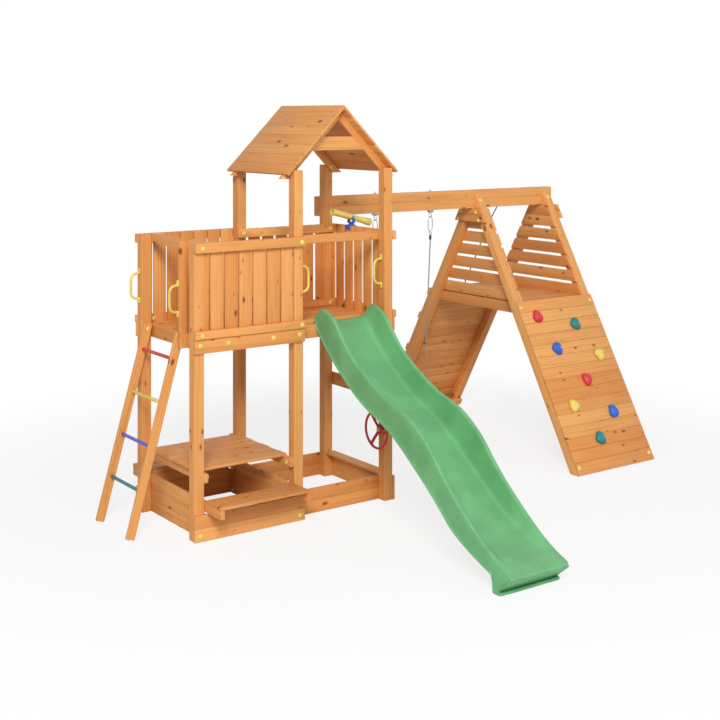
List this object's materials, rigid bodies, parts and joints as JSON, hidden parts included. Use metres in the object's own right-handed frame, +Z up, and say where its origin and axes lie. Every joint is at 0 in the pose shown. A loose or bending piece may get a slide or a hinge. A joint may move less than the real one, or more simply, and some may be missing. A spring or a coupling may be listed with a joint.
{
  "type": "wooden playground set",
  "caption": "Free-standing wooden play tower with roof, picnic table, sandbox, ladder and wavy slide, joined by a beam with a swing to a climbing frame with a cabin and ramp.",
  "frame": {"origin": "centre of the foot of the tower's front left post, on the ground", "axes": "+X to the right along the front, from the tower to the climbing frame; +Y to the back, away from the slide; +Z up"},
  "size_m": [4.8148, 4.5472, 3.1482],
  "materials": {
    "timber": "honey-stained softwood with knots",
    "rung_red": "gloss paint",
    "rung_yellow": "gloss paint",
    "rung_violet": "gloss paint",
    "rung_teal": "gloss paint",
    "yellow_plastic": "satin moulded plastic",
    "red_plastic": "satin moulded plastic",
    "blue_plastic": "satin moulded plastic",
    "green_plastic": "satin blown plastic",
    "steel": "zinc plated",
    "rope": "twisted fibre",
    "grey_rope": "twisted fibre"
  },
  "bodies": {
    "playground": {"post_front_left": "timber", "post_front_middle": "timber", "post_front_right": "timber", "post_back_left": "timber", "post_back_middle": "timber", "post_back_right": "timber", "guard_front": "timber", "guard_right": "timber", "guard_back": "timber", "guard_back_right": "timber", "ladder_doorway": "timber", "slide_safety_bar": "timber", "deck": "timber", "base_front": "timber", "base_slide": "timber", "base_left": "timber", "base_partition": "timber", "base_back": "timber", "base_right": "timber", "mid_board": "timber", "ladder_stringer_right": "timber", "ladder_stringer_left": "timber", "rung_red": "rung_red", "rung_yellow": "rung_yellow", "rung_violet": "rung_violet", "rung_teal": "rung_teal", "picnic_table": "timber", "bench_front": "timber", "bench_back": "timber", "roof_left": "timber", "roof_right": "timber", "truss_front": "timber", "truss_back": "timber", "handle_ladder_jamb": "yellow_plastic", "handle_ladder_post": "yellow_plastic", "handle_slide_left": "yellow_plastic", "handle_slide_right": "yellow_plastic", "slide": "green_plastic", "wheel_spindle": "blue_plastic", "telescope_clamp": "blue_plastic", "swing_beam": "timber", "swing_eye_left": "steel", "swing_eye_right": "steel", "aframe_left": "timber", "aframe_right": "timber", "cabin_floor": "timber", "climbing_wall": "timber", "ramp": "timber", "foot_rail": "timber", "climbing_rope": "grey_rope", "rope_knot": "grey_rope"},
    "swing": {"swing_hanger_left": "steel", "swing_hanger_right": "steel", "swing_rope_left": "rope", "swing_rope_right": "rope", "swing_seat": "red_plastic"},
    "wheel": {"steering_wheel": "red_plastic", "wheel_cap": "yellow_plastic"},
    "fork": {"telescope_fork": "blue_plastic"},
    "tube": {"telescope_tube": "yellow_plastic"}
  },
  "joints": [
    {"name": "swing_sway", "type": "hinge", "parent": "playground", "child": "swing", "pos_m": [2.5925, 0.93, 2.146], "axis": [1, 0, 0], "range_deg": [-60, 60]},
    {"name": "wheel_turn", "type": "hinge", "parent": "playground", "child": "wheel", "pos_m": [1.6104, 0, 0.566], "axis": [1, 0, 0], "continuous": true},
    {"name": "telescope_pan", "type": "hinge", "parent": "playground", "child": "fork", "pos_m": [1.7573, 0.557, 2.218], "axis": [0, 0, 1], "range_deg": [-60, 60]},
    {"name": "telescope_tilt", "type": "hinge", "parent": "fork", "child": "tube", "pos_m": [1.7573, 0.557, 2.218], "axis": [0, 1, 0], "range_deg": [-25, 10]}
  ]
}
